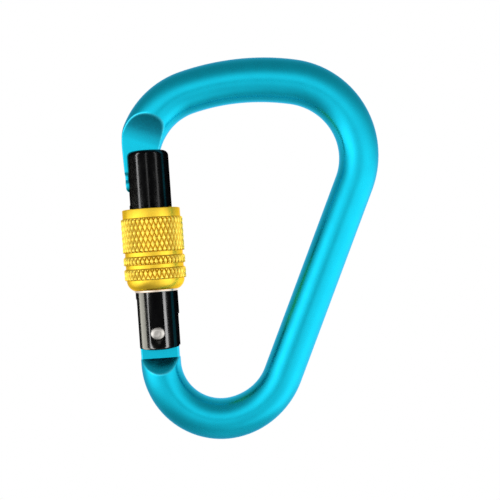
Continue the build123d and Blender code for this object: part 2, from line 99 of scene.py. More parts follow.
# ---------------------------------------------------------------- finishes
class Graph:
    """The node tree of a material or of the world, with the few kinds of node in use here."""

    def __init__(self, owner: bpy.types.Material | bpy.types.World) -> None:
        """Start on the node tree that a new material or world has."""
        owner.use_nodes = True
        self.owner = owner
        self.tree = owner.node_tree
        self.shader = self.tree.nodes.get("Principled BSDF")
        self.place = self.add("TexCoord").outputs["Object"]

    def add(self, kind: str, values: dict | None = None, **settings: object) -> bpy.types.Node:
        """Add a node.

        Args:
            kind: the node's type without its ShaderNode prefix.
            values: values of its input sockets, by name. A colour may leave its alpha out.
            settings: properties of the node, by name.

        Returns:
            The new node.
        """
        node = self.tree.nodes.new("ShaderNode" + kind)
        for key, value in settings.items():
            setattr(node, key, value)
        self.fill(node, values or {})
        return node

    def fill(self, node: bpy.types.Node, values: dict) -> None:
        """Set the values of a node's input sockets, by name; a colour may leave its alpha out."""
        for key, value in values.items():
            socket = node.inputs[key]
            socket.default_value = (*value, 1.0) if socket.type == "RGBA" else value

    def surface(self, shader: bpy.types.NodeSocket) -> None:
        """Make a shader the surface of the material, or of the world."""
        output = next(node for node in self.tree.nodes if node.type.startswith("OUTPUT"))
        self.join(shader, output.inputs["Surface"])

    def join(self, source: bpy.types.NodeSocket, target: bpy.types.NodeSocket) -> None:
        """Link one socket to another."""
        self.tree.links.new(source, target)

    def noise(self, size_mm: float, detail: float, stretch: float = 1.0) -> bpy.types.NodeSocket:
        """A noise over the piece.

        Args:
            size_mm: the size of its lumps.
            detail: how many finer layers it has.
            stretch: how many times longer the lumps are along the gate's axis.

        Returns:
            The noise's factor socket.
        """
        mapping = self.add("Mapping", {"Scale": (1.0, 1.0, 1 / stretch)})
        self.join(self.place, mapping.inputs["Vector"])
        noise = self.add("TexNoise", {"Scale": 1 / (size_mm * MM), "Detail": detail})
        self.join(mapping.outputs["Vector"], noise.inputs["Vector"])
        return noise.outputs["Fac"]

    def spread(self, source: bpy.types.NodeSocket, low: float, high: float) -> bpy.types.NodeSocket:
        """Map a noise's middle range on to low..high.

        Args:
            source: the socket to map.
            low: what a noise of 0.3 becomes.
            high: what a noise of 0.7 becomes.

        Returns:
            The mapped socket.
        """
        span = {"From Min": 0.3, "From Max": 0.7, "To Min": low, "To Max": high}
        node = self.add("MapRange", span)
        self.join(source, node.inputs["Value"])
        return node.outputs["Result"]

    def blend(
        self, share: bpy.types.NodeSocket, start: bpy.types.NodeSocket | Colour, end: Colour
    ) -> bpy.types.NodeSocket:
        """Mix two colours.

        Args:
            share: how much of the end colour there is, from 0 to 1.
            start: the colour at a share of 0, or the socket that gives it.
            end: the colour at a share of 1.

        Returns:
            The mixed colour.
        """
        mix = self.add("Mix", data_type="RGBA")
        self.join(share, mix.inputs["Factor"])
        if isinstance(start, bpy.types.NodeSocket):
            self.join(start, mix.inputs["A"])
        else:
            mix.inputs["A"].default_value = (*start, 1.0)
        mix.inputs["B"].default_value = (*end, 1.0)
        return mix.outputs["Result"]

    def bump(self, height: bpy.types.NodeSocket, depth_mm: float) -> None:
        """Add a relief on top of those that the shader has already.

        Args:
            height: the relief's height, from 0 to 1.
            depth_mm: how deep it goes.
        """
        node = self.add("Bump", {"Strength": 1.0, "Distance": depth_mm * MM})
        self.join(height, node.inputs["Height"])
        normal = self.shader.inputs["Normal"]
        if normal.links:
            self.join(normal.links[0].from_socket, node.inputs["Normal"])
        self.join(node.outputs["Normal"], normal)


@dataclass(frozen=True)
class Finish:
    """A surface finish: its colour, gloss, grain, turning lines, worn places and the shade painted
    into its hollows; sizes in mm.
    """

    name: str
    colour: Colour
    faded: Colour
    worn: Colour
    metallic: float
    roughness: float
    roughness_swing: float
    grain: float = 0.18
    grain_depth: float = 0.004
    mottle: float = 3.0
    edge_tint: Colour = (1.0, 1.0, 1.0)
    # hollow: the colour painted as shade in grooves and recesses, where the hollow mask says.
    hollow: Colour = (0.0, 0.0, 0.0)
    lathe_pitch: float = 0.0
    lathe_depth: float = 0.0
    clear_coat: float = 0.0
    coat_roughness: float = 0.2
    patch: float = 0.8

    def material(self) -> bpy.types.Material:
        """Build the material.

        Returns:
            The material.
        """
        graph = Graph(bpy.data.materials.new(self.name))
        inputs = graph.shader.inputs
        graph.fill(graph.shader, {
            "Metallic": self.metallic,
            "Specular Tint": self.edge_tint,
            "Coat Weight": self.clear_coat,
            "Coat Roughness": self.coat_roughness,
        })
        mottle = graph.spread(graph.noise(self.mottle, 3.0), 0.0, 1.0)
        colour = graph.blend(mottle, self.colour, self.faded)
        # Mix in the painted shade of the hollows and the colour of the worn places, each by its
        # mask and a patchy noise.
        for mask, tint, least in zip(MASKS, (self.hollow, self.worn), (0.8, 0.2)):
            where = graph.add("Attribute", attribute_name=mask)
            patchy = graph.add("Math", operation="MULTIPLY")
            graph.join(where.outputs["Fac"], patchy.inputs[0])
            graph.join(graph.spread(graph.noise(self.patch, 4.0), least, 1.0), patchy.inputs[1])
            colour = graph.blend(patchy.outputs["Value"], colour, tint)
        graph.join(colour, inputs["Base Color"])
        smear = graph.noise(self.mottle * 0.4, 4.0, 3.0)
        low, high = self.roughness - self.roughness_swing, self.roughness + self.roughness_swing
        graph.join(graph.spread(smear, low, high), inputs["Roughness"])
        graph.bump(graph.noise(self.grain, 2.0), self.grain_depth)
        if self.lathe_pitch:
            self.turn(graph)
        return graph.owner

    def turn(self, graph: Graph) -> None:
        """Add the fine lines that a lathe tool leaves round the gate's axis.

        Args:
            graph: the material's node tree.
        """
        pattern = {
            "Scale": 2 * math.pi / (20 * self.lathe_pitch * MM),
            "Distortion": 1.5,
            "Detail": 2.0,
            "Detail Scale": 0.3,
        }
        lines = graph.add("TexWave", pattern, wave_type="BANDS", bands_direction="Z")
        graph.join(graph.place, lines.inputs["Vector"])
        graph.bump(lines.outputs["Fac"], self.lathe_depth)


TEAL = Finish(
    name="teal anodised",
    colour=(0.001, 0.515, 0.70),
    faded=(0.001, 0.485, 0.67),
    worn=(0.06, 0.62, 0.80),
    # painted shade: darker teal painted up the concave run-out at the top of the nose's flat.
    hollow=(0.001, 0.25, 0.36),
    metallic=1.0,
    roughness=0.28,
    roughness_swing=0.03,
    grain=0.15,
    grain_depth=0.0035,
    mottle=5.0,
    edge_tint=(0.10, 0.55, 0.75),
    clear_coat=0.17,
)
BLACK = Finish(
    name="black anodised",
    colour=(0.001, 0.001, 0.0012),
    faded=(0.0015, 0.0015, 0.0016),
    worn=(0.008, 0.008, 0.008),
    metallic=0.0,
    roughness=0.17,
    roughness_swing=0.03,
    grain=0.4,
    grain_depth=0.0004,
)
GOLD = Finish(
    name="gold anodised",
    colour=(0.87, 0.585, 0.042),
    faded=(0.83, 0.545, 0.037),
    worn=(0.98, 0.80, 0.15),
    # painted shade: darker amber painted into the knurl's grooves.
    hollow=(0.42, 0.225, 0.008),
    clear_coat=0.12,
    metallic=1.0,
    roughness=0.33,
    roughness_swing=0.04,
    grain=0.12,
    grain_depth=0.004,
    mottle=2.0,
    edge_tint=(0.95, 0.70, 0.20),
    lathe_pitch=0.16,
    lathe_depth=0.004,
)
RIVET_STEEL = Finish(
    name="rivet steel",
    colour=(0.50, 0.485, 0.455),
    faded=(0.42, 0.40, 0.375),
    worn=(0.6, 0.58, 0.55),
    metallic=1.0,
    roughness=0.26,
    roughness_swing=0.06,
    grain=0.3,
    grain_depth=0.006,
)
SPRING_STEEL = Finish(
    name="spring steel",
    colour=(0.45, 0.45, 0.46),
    faded=(0.36, 0.36, 0.37),
    worn=(0.6, 0.6, 0.6),
    metallic=1.0,
    roughness=0.3,
    roughness_swing=0.05,
)
# The record classes the ring as a plastic; it is shown here as pale bare metal.
RING_STEEL = Finish(
    name="ring steel",
    colour=(0.80, 0.68, 0.56),
    faded=(0.74, 0.61, 0.50),
    worn=(0.85, 0.75, 0.66),
    metallic=1.0,
    roughness=0.24,
    roughness_swing=0.04,
    grain=0.1,
    grain_depth=0.003,
)


# ---------------------------------------------------------------- shared tools
@dataclass
class Bench:
    """Sets a piece that was modelled about the hinge axis into the frame, in metres."""

    hinge: Vector

    def to_frame(self) -> Matrix:
        """The move from millimetres about the hinge to metres in the row frame."""
        return Matrix.Translation(self.hinge) @ Matrix.Scale(MM, 4)

    def point(self, x: float, y: float, z: float) -> Vector:
        """A point given about the hinge, in the row frame."""
        return self.to_frame() @ Vector((x, y, z))

    def set_down(
        self, mesh: bmesh.types.BMesh, node: str, body: Body, slot: str, finish: Finish
    ) -> bpy.types.Object:
        """Make the finished piece that stands for a CAD node.

        Args:
            mesh: the piece in millimetres about the hinge. It is freed.
            node: the CAD node that the piece stands for.
            body: the body that it rides on.
            slot: its material slot in the record; not used.
            finish: its finish.

        Returns:
            The piece.
        """
        mesh.transform(self.to_frame())
        piece = settle(mesh, node + LOOKS)
        data = piece.data
        data.shade_smooth()
        data.set_sharp_from_angle(angle=SHARP_ANGLE)
        data.materials.append(finish.material())
        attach(piece, body.value)
        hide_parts(node)
        LOG.info("%s: %d vertices, on body %s", piece.name, len(data.vertices), body.value)
        return piece


def settle(mesh: bmesh.types.BMesh, name: str) -> bpy.types.Object:
    """Make an object of a mesh, which is freed, and link it to the scene."""
    data = bpy.data.meshes.new(name)
    mesh.to_mesh(data)
    mesh.free()
    item = bpy.data.objects.new(name, data)
    bpy.context.scene.collection.objects.link(item)
    return item


def masked() -> bmesh.types.BMesh:
    """An empty mesh whose vertices can say where shade is painted into hollows and where the finish
    is worn.
    """
    mesh = bmesh.new()
    for name in MASKS:
        mesh.verts.layers.float.new(name)
    return mesh


def face_out(mesh: bmesh.types.BMesh) -> None:
    """Turn the faces of a mesh outward."""
    bmesh.ops.recalc_face_normals(mesh, faces=mesh.faces)


def verts_of(made: dict) -> list[bmesh.types.BMVert]:
    """The vertices among what an operator made."""
    return [item for item in made["geom"] if isinstance(item, bmesh.types.BMVert)]


def spin(
    mesh: bmesh.types.BMesh, geom: list, steps: int, angle: float, rise: float = 0.0
) -> bmesh.types.BMesh:
    """Sweep edges or faces round the Z axis.

    Args:
        mesh: the mesh that holds them.
        geom: the vertices, edges or faces to sweep.
        steps: how many steps the sweep has.
        angle: how far it turns, in radians; a full turn that doesn't rise is closed.
        rise: how far each step climbs.

    Returns:
        The mesh, with its faces outward.
    """
    bmesh.ops.spin(
        mesh,
        geom=geom,
        axis=(0, 0, 1),
        cent=(0, 0, 0),
        dvec=(0, 0, rise),
        steps=steps,
        angle=angle,
        use_merge=angle == 2 * math.pi and not rise,
    )
    face_out(mesh)
    return mesh


def lathe(profile: list[Point], steps: int) -> bmesh.types.BMesh:
    """Turn a profile about the Z axis.

    Args:
        profile: (radius, height) of its points in order, from the axis back to it.
        steps: how many facets the turning has.

    Returns:
        The closed, outward-facing mesh.
    """
    mesh = bmesh.new()
    points = [mesh.verts.new((radius, 0, height)) for radius, height in profile]
    edges = [mesh.edges.new(pair) for pair in zip(points, points[1:])]
    spin(mesh, points + edges, steps, 2 * math.pi)
    bmesh.ops.remove_doubles(mesh, verts=mesh.verts, dist=MERGE)
    face_out(mesh)
    return mesh


def arc(centre: Point, radius: float, start: float, end: float, steps: int) -> list[Point]:
    """Points along an arc.

    Args:
        centre: the arc's centre.
        radius: its radius.
        start: the angle of its first point, in degrees.
        end: the angle of its last point, in degrees.
        steps: how many chords it has.

    Returns:
        The points, both ends among them.
    """
    turns = [math.radians(start + (end - start) * step / steps) for step in range(steps + 1)]
    return [(centre[0] + radius * math.cos(t), centre[1] + radius * math.sin(t)) for t in turns]


def plate(outline: list[Point], thickness: float) -> bmesh.types.BMesh:
    """A flat outline in the carabiner's plane, made a plate about that plane.

    Args:
        outline: (x, z) of its corners in order.
        thickness: its thickness along Y.

    Returns:
        The closed mesh.
    """
    mesh = bmesh.new()
    corners = [mesh.verts.new((x, -thickness / 2, z)) for x, z in outline]
    swept = bmesh.ops.extrude_face_region(mesh, geom=[mesh.faces.new(corners)])
    bmesh.ops.translate(mesh, verts=verts_of(swept), vec=(0, thickness, 0))
    face_out(mesh)
    return mesh


def rod(radius: float, start: Vector, end: Vector, sides: int = 48) -> bmesh.types.BMesh:
    """A round rod between two points.

    Args:
        radius: its radius.
        start: the middle of one end.
        end: the middle of the other end.
        sides: how many facets it has.

    Returns:
        The closed mesh.
    """
    mesh = bmesh.new()
    along = end - start
    bmesh.ops.create_cone(
        mesh, cap_ends=True, segments=sides, radius1=radius, radius2=radius, depth=along.length
    )
    turn = along.to_track_quat("Z", "Y").to_matrix().to_4x4()
    mesh.transform(Matrix.Translation((start + end) / 2) @ turn)
    return mesh


def combine(piece: bmesh.types.BMesh, tool: bmesh.types.BMesh, cut: Cut) -> bmesh.types.BMesh:
    """Cut a piece with a tool, or join the tool on to it.

    Args:
        piece: the piece. It is freed.
        tool: the tool. It is freed.
        cut: whether the tool is taken away or joined on.

    Returns:
        The changed piece.
    """
    made = [settle(part, "work") for part in (piece, tool)]
    modifier = made[0].modifiers.new("cut", "BOOLEAN")
    modifier.object = made[1]
    modifier.operation = cut.value
    modifier.solver = "EXACT"
    result = bmesh.new()
    result.from_object(made[0], bpy.context.evaluated_depsgraph_get())
    for item in made:
        data = item.data
        bpy.data.objects.remove(item)
        bpy.data.meshes.remove(data)
    bmesh.ops.remove_doubles(result, verts=result.verts, dist=MERGE)
    return result


def boundary(mesh: bmesh.types.BMesh, height: float) -> list[bmesh.types.BMEdge]:
    """The open edges of a mesh that lie at one height."""
    return [
        edge
        for edge in mesh.edges
        if edge.is_boundary and all(abs(vert.co.z - height) < MERGE * 10 for vert in edge.verts)
    ]


# ---------------------------------------------------------------- forged body
@dataclass(frozen=True)
class Stretch:
    """A straight or evenly turning length of the bar's centreline; angles in radians."""

    start: Point
    heading: float
    length: float
    turn: float
    thick_start: float
    thick_end: float
    zone: Zone

    def at(self, along: float) -> tuple[float, float, float, float]:
        """The centreline at some length from the start.

        Args:
            along: the length from the start.

        Returns:
            x, z, heading, and half the bar's thickness in the carabiner's plane.
        """
        share = along / self.length
        heading = self.heading + self.turn * share
        if self.turn:
            radius = self.length / self.turn
            x = self.start[0] + radius * (math.sin(heading) - math.sin(self.heading))
            z = self.start[1] + radius * (math.cos(self.heading) - math.cos(heading))
        else:
            x = self.start[0] + along * math.cos(heading)
            z = self.start[1] + along * math.sin(heading)
        swing = (1 - math.cos(math.pi * share)) / 2
        thick = self.thick_start + (self.thick_end - self.thick_start) * swing
        return x, z, heading, thick / 2


@dataclass(frozen=True)
class Station:
    """One cross-section of the bar."""

    x: float
    z: float
    heading: float
    half: float
    zone: Zone


@dataclass
class ForgedBody:
    """The forged body: an oval bar bent round, milled flat at the hinge and at the hooked nose."""

    stock: float = 11.7
    at_hinge: float = 11.9
    at_narrow_basket: float = 12.2
    at_spine: float = 11.65
    at_shoulder: float = 13.4
    at_wide_basket: float = 13.0
    at_nose: float = 12.7
    centre_x: float = -0.12
    hinge_drop: float = 9.25
    heel: Point = (17.95, 99.5)
    toe: Point = (20.5, 56.1)
    spine: float = 61.1
    shoulder: Point = (22.7, 102.8)
    crown_radius: float = 69.6
    brow_radius: float = 21.5
    nose_x: float = -2.73
    nose_length: float = 8.1
    # hinge tongue
    tongue: float = 4.2
    tongue_width: float = 11.6
    tongue_corner: float = 2.6
    cam_height: float = 5.0
    cam_lever: float = 2.4
    opening: float = 35.0
    hinge_flat: float = 7.6
    scoop_slope: float = 0.833
    scoop_reach: float = 6.0
    rivet_hole: float = 2.05
    # nose, with heights above its end
    flat_height: float = 13.6
    runout_radius: float = 12.0
    runout_share: float = 0.8
    runout_lean: float = 20.0
    runout_middle: float = 1.0
    # how far up the nose's run-out the painted shade takes to reach its full depth
    painted_shade_rise: float = 4.2
    outer: float = 7.18
    outer_lean: float = 2.0
    belly_height: float = 12.1
    belly_radius: float = 44.0
    inner: float = 3.0
    throat_height: float = 5.8
    throat_radius: float = 18.0
    throat_angle: float = 32.0
    neck: float = 2.6
    neck_height: float = 5.15
    nose_corner: float = 1.2
    # mesh
    sides: int = 128
    rays: int = 1440
    halvings: int = 24
    far: float = 99.0
    bend_cost: float = 2.0
    bend_most: float = 0.3
    plain_step: float = 1.2
    milled_step: float = 0.28
    edge_round: float = 0.42

    def closing(self) -> tuple[float, float]:
        """How far the crown and the brow turn to bring the bar's end down above the nose.

        Returns:
            The two angles, in radians.
        """
        x, heading = self.centre_x, -math.pi / 2
        for radius, angle in (self.heel, self.toe):
            turned = heading + math.radians(angle)
            x += radius * (math.sin(turned) - math.sin(heading))
            heading = turned
        x += self.spine * math.cos(heading)
        radius, angle = self.shoulder
        turned = heading + math.radians(angle)
        x += radius * (math.sin(turned) - math.sin(heading))
        reach = self.nose_x + self.brow_radius - x + self.crown_radius * math.sin(turned)
        meeting = math.pi - math.asin(reach / (self.crown_radius - self.brow_radius))
        return meeting - turned, 3 * math.pi / 2 - meeting

    def stretches(self) -> list[Stretch]:
        """The centreline, from the top of the hinge tongue round to the end of the nose."""
        crown, brow = self.closing()
        heel, toe, shoulder = (
            (radius * math.radians(angle), math.radians(angle))
            for radius, angle in (self.heel, self.toe, self.shoulder)
        )
        plan = [
            (self.cam_height + self.hinge_flat, 0.0, self.at_hinge, Zone.HINGE),
            (self.hinge_drop - self.hinge_flat, 0.0, self.at_hinge, Zone.HINGE),
            (*heel, self.at_narrow_basket, Zone.HINGE),
            (*toe, self.at_spine, Zone.PLAIN),
            (self.spine, 0.0, self.at_spine, Zone.PLAIN),
            (*shoulder, self.at_shoulder, Zone.PLAIN),
            (self.crown_radius * crown, crown, self.at_wide_basket, Zone.PLAIN),
            (self.brow_radius * brow, brow, self.at_nose, Zone.NOSE),
            (self.nose_length, 0.0, self.at_nose, Zone.NOSE),
        ]
        made: list[Stretch] = []
        start, heading, thick = (self.centre_x, self.cam_height), -math.pi / 2, self.at_hinge
        for length, turn, thick_end, zone in plan:
            made.append(Stretch(start, heading, length, turn, thick, thick_end, zone))
            x, z, heading, _half = made[-1].at(length)
            start, thick = (x, z), thick_end
        return made

    def spacing(self, number: int, stretch: Stretch, last: bool) -> list[float]:
        """Where the sections of one stretch stand, closer together where the bar is milled.

        Args:
            number: the stretch's place in the bar.
            stretch: the stretch.
            last: True for the nose, whose end is round.

        Returns:
            Lengths along the stretch, without its start unless it is the first.
        """
        milled = {Zone.PLAIN: 0.0, Zone.HINGE: self.scoop_reach, Zone.NOSE: stretch.length}
        fine = milled[stretch.zone]
        fine = stretch.length if number < 2 else min(fine, stretch.length)
        bulb = self.tongue / 2
        straight = fine - bulb if last else fine
        places = list(np.linspace(0, straight, max(2, round(straight / self.milled_step) + 1)))
        if last:
            places += [straight + bulb * math.sin(math.radians(a)) for a in range(8, 89, 8)]
        elif fine < stretch.length:
            rest = stretch.length - fine
            steps = max(1, round(rest / self.plain_step))
            coarse = [fine + rest * (step + 1) / steps for step in range(steps)]
            places = (places if fine else [0.0]) + coarse
        return places if number == 0 else places[1:]

    def stations(self) -> list[Station]:
        """All the cross-sections in order."""
        stretches = self.stretches()
        made = []
        for number, stretch in enumerate(stretches):
            for along in self.spacing(number, stretch, number == len(stretches) - 1):
                made.append(Station(*stretch.at(along), stretch.zone))
        return made

    def cam(self) -> tuple[np.ndarray, np.ndarray]:
        """Heights and reaches of the tongue's cam, the involute that the plunger rides."""
        angle = np.radians(np.linspace(self.opening, 0, 40))
        lift = self.cam_height + self.cam_lever * angle
        reach = lift * np.sin(angle) + self.cam_lever * np.cos(angle)
        height = lift * np.cos(angle) - self.cam_lever * np.sin(angle)
        return height, reach

    def hinge_walls(self, x: np.ndarray, y: np.ndarray, z: np.ndarray) -> list[np.ndarray]:
        """How far points stand outside the milled hinge tongue's walls, in mm."""
        half = self.tongue / 2 + np.maximum(-self.hinge_flat - z, 0) * self.scoop_slope
        height, reach = self.cam()
        cam = np.interp(z, height, reach, left=self.far)
        right = np.minimum(self.centre_x + self.tongue_width / 2, cam)
        rise = np.clip(z - self.cam_height + self.tongue_corner, 0, self.tongue_corner)
        corner = self.tongue_corner - np.sqrt(self.tongue_corner**2 - rise**2)
        left = self.centre_x - self.tongue_width / 2 + corner
        below = np.where(z < -self.hinge_flat, self.far, 0.0)
        return [np.abs(y) - half, x - right - below, left - x - below]

    def past_flat(self, x: np.ndarray, z: np.ndarray) -> np.ndarray:
        """How far points stand past the end of the nose's flat, square to the bar there."""
        lean = math.radians(self.runout_lean)
        above = z - self.nose_end() - self.flat_height
        return above * math.cos(lean) + (x - self.runout_middle) * math.sin(lean)

    def nose_half(self, x: np.ndarray, z: np.ndarray) -> np.ndarray:
        """Half the nose's thickness at a height: bulb, neck, flat, and the flat's run-out."""
        low = self.nose_end()
        flat = self.tongue / 2
        bulb_z = low + flat
        bulb = np.sqrt(np.maximum(flat**2 - (z - bulb_z) ** 2, 0))
        neck = np.where(z > bulb_z, self.neck / 2, 0)
        flare = np.clip(self.neck / 2 + z - low - self.neck_height, 0, flat)
        flare = np.where(z > low + self.neck_height, flare, 0)
        rise = np.clip(self.past_flat(x, z), 0, self.runout_radius * self.runout_share)
        runout = self.runout_radius - np.sqrt(self.runout_radius**2 - rise**2)
        return np.maximum(np.maximum(bulb, neck), flare) + runout

    def nose_end(self) -> float:
        """The height of the nose's end above the hinge."""
        nose = self.stretches()[-1]
        return nose.start[1] - self.nose_length

    def nose_walls(self, x: np.ndarray, y: np.ndarray, z: np.ndarray) -> list[np.ndarray]:
        """How far points stand outside the milled nose's walls, in mm."""
        low = self.nose_end()
        lean = math.radians(self.outer_lean)
        belly_z = low + self.belly_height
        rise = np.clip(low + self.nose_corner - z, 0, self.nose_corner)
        corner = self.nose_corner - np.sqrt(self.nose_corner**2 - rise**2)
        line = -self.outer + (belly_z - z) * math.tan(lean) - x
        centre_x = -self.outer + self.belly_radius * math.cos(lean)
        centre_z = belly_z + self.belly_radius * math.sin(lean)
        belly = np.hypot(x - centre_x, z - centre_z) - self.belly_radius
        outer = np.where(z < belly_z, line, belly) + corner
        throat_z = low + self.throat_height
        turned = math.radians(self.throat_angle)
        top = throat_z + self.throat_radius * math.sin(turned)
        away = np.hypot(x - self.inner - self.throat_radius, z - throat_z)
        throat = self.throat_radius - away - np.maximum(z - top, 0)
        inner = np.where(z < throat_z, x - self.inner, throat) + corner
        return [np.abs(y) - self.nose_half(x, z), outer, inner]

    def outside(
        self, zone: Zone, half: float, x: np.ndarray, y: np.ndarray, z: np.ndarray, off: np.ndarray
    ) -> tuple[np.ndarray, np.ndarray, np.ndarray]:
        """How far points stand outside the bar, with the milled edges rounded over.

        Args:
            zone: what is milled there.
            half: half the bar's thickness in the carabiner's plane.
            x: the points' x.
            y: the points' y.
            z: the points' z.
            off: the points' offset from the centreline in the carabiner's plane.

        Returns:
            The distance in mm, how much of an edge each point is, and how much shade is painted on
            it.
        """
        deep = self.stock / 2
        result = (np.hypot(y / deep, off / half) - 1) * min(deep, half)
        # Painted shade: on milled faces only, darker up the run-out past the end of the nose's
        # flat.
        above = self.past_flat(x, z) if zone is Zone.NOSE else np.zeros_like(z)
        hollow = np.clip(-2 * result, 0, 1) * np.clip(above / self.painted_shade_rise, 0, 1)
        edge = np.zeros_like(result)
        walls = {Zone.PLAIN: None, Zone.HINGE: self.hinge_walls, Zone.NOSE: self.nose_walls}[zone]
        for wall in walls(x, y, z) if walls else []:
            near = np.maximum(self.edge_round - np.abs(result - wall), 0) / self.edge_round
            result = np.maximum(result, wall) + near**2 * self.edge_round / 4
            edge = np.maximum(edge, near)
        return result, edge, hollow

    def ring(self, station: Station) -> tuple[np.ndarray, np.ndarray, np.ndarray]:
        """The outline of one cross-section, with more points where it bends.

        Args:
            station: the cross-section.

        Returns:
            An array of points, how much of an edge each is, and how much painted shade each has.
        """
        angle = np.linspace(0, 2 * math.pi, self.rays, endpoint=False)
        inward = np.array((-math.sin(station.heading), math.cos(station.heading)))
        across, deep = -np.cos(angle), -np.sin(angle)
        low, high = np.zeros(self.rays), np.full(self.rays, self.stock)
        for _halving in range(self.halvings):
            reach = (low + high) / 2
            off = across * reach
            x, z = station.x + inward[0] * off, station.z + inward[1] * off
            gap, edge, hollow = self.outside(station.zone, station.half, x, deep * reach, z, off)
            low, high = np.where(gap < 0, reach, low), np.where(gap < 0, high, reach)
        points = np.stack((x, deep * reach, z), axis=1)
        chords = np.roll(points, -1, axis=0) - points
        lengths = np.linalg.norm(chords, axis=1)
        units = chords / np.maximum(lengths, 1e-9)[:, None]
        bends = np.arccos(np.clip((units * np.roll(units, 1, axis=0)).sum(1), -1, 1))
        bends = self.bend_cost * np.minimum(bends, self.bend_most)
        cost = np.concatenate(([0], np.cumsum(lengths + bends)))
        wanted = np.linspace(0, cost[-1], self.sides, endpoint=False)
        numbers = np.arange(self.rays + 1)
        index = np.interp(wanted, cost, numbers)
        closed = np.vstack((points, points[:1]))
        shares = [np.interp(index, numbers, closed[:, axis]) for axis in range(3)]
        edge, hollow = (np.interp(index, numbers[:-1], amount) for amount in (edge, hollow))
        return np.stack(shares, axis=1), edge, hollow

    def build(self) -> bmesh.types.BMesh:
        """Model the body: a sheet laid round the sections, closed at both ends, with its hole.

        Returns:
            The body's mesh.
        """
        stations = self.stations()
        rings = [self.ring(station) for station in stations]
        mesh = masked()
        painted_shade_layer, wear = (mesh.verts.layers.float[name] for name in MASKS)
        bmesh.ops.create_grid(mesh, x_segments=self.sides, y_segments=len(rings) - 1, size=0.5)
        for vert in mesh.verts:
            side = round((vert.co.x + 0.5) * self.sides) % self.sides
            points, edge, hollow = rings[round((vert.co.y + 0.5) * (len(rings) - 1))]
            vert[wear], vert[painted_shade_layer] = float(edge[side]), float(hollow[side])
            vert.co = Vector(points[side])
        bmesh.ops.remove_doubles(mesh, verts=mesh.verts, dist=MERGE)
        ends = [edge for edge in mesh.edges if edge.is_boundary]
        bmesh.ops.holes_fill(mesh, edges=ends, sides=0)
        face_out(mesh)
        side = Vector((0, self.stock, 0))
        return combine(mesh, rod(self.rivet_hole, -side, side, 64), Cut.TAKE_AWAY)


